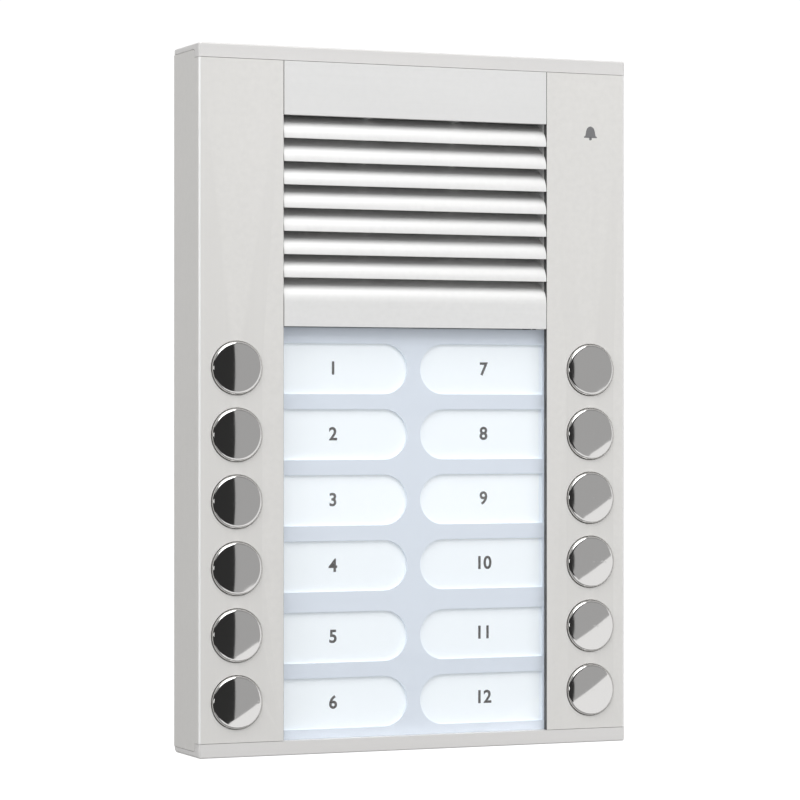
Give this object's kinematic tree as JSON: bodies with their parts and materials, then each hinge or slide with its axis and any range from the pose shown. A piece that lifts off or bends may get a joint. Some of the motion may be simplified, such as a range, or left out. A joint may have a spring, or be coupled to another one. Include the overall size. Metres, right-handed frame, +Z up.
{
  "type": "door intercom panel",
  "caption": "Surface-mounted metal door intercom panel with round bell buttons, a louvred speaker grille and a lit name window.",
  "frame": {"origin": "centre of the wall face, at the back of the panel", "axes": "+Z up, -Y out of the front face towards the visitor, +X to the right as seen from the front"},
  "size_m": [0.166, 0.029, 0.25],
  "materials": {
    "anodised_rail": "fine satin anodised",
    "anodised_cap": "fine satin anodised",
    "anodised_grille": "fine satin anodised",
    "polished_stainless": "mirror polished",
    "spring_steel": "drawn wire",
    "stainless_screw": "turned",
    "plated_steel": "zinc plated",
    "zinc_plate": "galvanised sheet",
    "brass_nut": "machined",
    "aluminium_can": "drawn can",
    "magnet_steel": "black oxide",
    "acoustic_cloth": "woven black cloth",
    "clear_acrylic": "clear gloss",
    "mask_film": "satin printed",
    "card_paper": "matt",
    "opal_acrylic": "opal",
    "circuit_board": "green solder mask",
    "led_white": "phosphor lens",
    "black_moulding": "moulded",
    "white_moulding": "moulded",
    "green_moulding": "moulded",
    "switch_moulding": "moulded",
    "cable_film": "laminated film",
    "speaker_film": "pressed film",
    "silicone": "moulded",
    "foam_rubber": "closed-cell foam"
  },
  "bodies": {
    "base": {"back_plate": "zinc_plate", "back_seal": "foam_rubber", "cable_grommet": "silicone"},
    "front": {"backlight_leds": "led_white", "board_components": "black_moulding", "board_screws": "plated_steel", "board_sockets": "white_moulding", "bottom_cap": "anodised_cap", "button_carriers": "black_moulding", "button_seals": "silicone", "cap_screws": "stainless_screw", "flat_cables": "cable_film", "grille_cloth": "acoustic_cloth", "grille_panel": "anodised_grille", "label_mask": "mask_film", "left_rail": "anodised_rail", "light_diffuser": "opal_acrylic", "lock_nuts": "brass_nut", "lock_screws": "stainless_screw", "main_board": "circuit_board", "microphone": "aluminium_can", "microphone_boot": "silicone", "name_cards": "card_paper", "right_rail": "anodised_rail", "speaker_basket": "plated_steel", "speaker_clamp": "plated_steel", "speaker_cone": "speaker_film", "speaker_gasket": "foam_rubber", "speaker_magnet": "magnet_steel", "spring_l1": "spring_steel", "spring_l2": "spring_steel", "spring_l3": "spring_steel", "spring_l4": "spring_steel", "spring_l5": "spring_steel", "spring_l6": "spring_steel", "spring_r1": "spring_steel", "spring_r2": "spring_steel", "spring_r3": "spring_steel", "spring_r4": "spring_steel", "spring_r5": "spring_steel", "spring_r6": "spring_steel", "switch_boards": "circuit_board", "tact_switches": "switch_moulding", "terminal_header": "green_moulding", "terminal_plug": "green_moulding", "terminal_screws": "plated_steel", "top_cap": "anodised_cap", "window_cover": "clear_acrylic"},
    "button_l1": {"button_l1": "polished_stainless"},
    "button_l2": {"button_l2": "polished_stainless"},
    "button_l3": {"button_l3": "polished_stainless"},
    "button_l4": {"button_l4": "polished_stainless"},
    "button_l5": {"button_l5": "polished_stainless"},
    "button_l6": {"button_l6": "polished_stainless"},
    "button_r1": {"button_r1": "polished_stainless"},
    "button_r2": {"button_r2": "polished_stainless"},
    "button_r3": {"button_r3": "polished_stainless"},
    "button_r4": {"button_r4": "polished_stainless"},
    "button_r5": {"button_r5": "polished_stainless"},
    "button_r6": {"button_r6": "polished_stainless"}
  },
  "joints": [
    {"name": "front_hinge", "type": "hinge", "parent": "base", "child": "front", "pos_m": [0, -0.0042, 0.1226], "axis": [-1, 0, 0], "range_deg": [0, 25]},
    {"name": "button_l1_press", "type": "slide", "parent": "front", "child": "button_l1", "axis": [0, 1, 0], "range_m": [0, 0.0015], "stiffness_N_per_m": 400, "springref_m": -0.003, "deforming": ["spring_l1"]},
    {"name": "button_l2_press", "type": "slide", "parent": "front", "child": "button_l2", "axis": [0, 1, 0], "range_m": [0, 0.0015], "stiffness_N_per_m": 400, "springref_m": -0.003, "deforming": ["spring_l2"]},
    {"name": "button_l3_press", "type": "slide", "parent": "front", "child": "button_l3", "axis": [0, 1, 0], "range_m": [0, 0.0015], "stiffness_N_per_m": 400, "springref_m": -0.003, "deforming": ["spring_l3"]},
    {"name": "button_l4_press", "type": "slide", "parent": "front", "child": "button_l4", "axis": [0, 1, 0], "range_m": [0, 0.0015], "stiffness_N_per_m": 400, "springref_m": -0.003, "deforming": ["spring_l4"]},
    {"name": "button_l5_press", "type": "slide", "parent": "front", "child": "button_l5", "axis": [0, 1, 0], "range_m": [0, 0.0015], "stiffness_N_per_m": 400, "springref_m": -0.003, "deforming": ["spring_l5"]},
    {"name": "button_l6_press", "type": "slide", "parent": "front", "child": "button_l6", "axis": [0, 1, 0], "range_m": [0, 0.0015], "stiffness_N_per_m": 400, "springref_m": -0.003, "deforming": ["spring_l6"]},
    {"name": "button_r1_press", "type": "slide", "parent": "front", "child": "button_r1", "axis": [0, 1, 0], "range_m": [0, 0.0015], "stiffness_N_per_m": 400, "springref_m": -0.003, "deforming": ["spring_r1"]},
    {"name": "button_r2_press", "type": "slide", "parent": "front", "child": "button_r2", "axis": [0, 1, 0], "range_m": [0, 0.0015], "stiffness_N_per_m": 400, "springref_m": -0.003, "deforming": ["spring_r2"]},
    {"name": "button_r3_press", "type": "slide", "parent": "front", "child": "button_r3", "axis": [0, 1, 0], "range_m": [0, 0.0015], "stiffness_N_per_m": 400, "springref_m": -0.003, "deforming": ["spring_r3"]},
    {"name": "button_r4_press", "type": "slide", "parent": "front", "child": "button_r4", "axis": [0, 1, 0], "range_m": [0, 0.0015], "stiffness_N_per_m": 400, "springref_m": -0.003, "deforming": ["spring_r4"]},
    {"name": "button_r5_press", "type": "slide", "parent": "front", "child": "button_r5", "axis": [0, 1, 0], "range_m": [0, 0.0015], "stiffness_N_per_m": 400, "springref_m": -0.003, "deforming": ["spring_r5"]},
    {"name": "button_r6_press", "type": "slide", "parent": "front", "child": "button_r6", "axis": [0, 1, 0], "range_m": [0, 0.0015], "stiffness_N_per_m": 400, "springref_m": -0.003, "deforming": ["spring_r6"]}
  ]
}
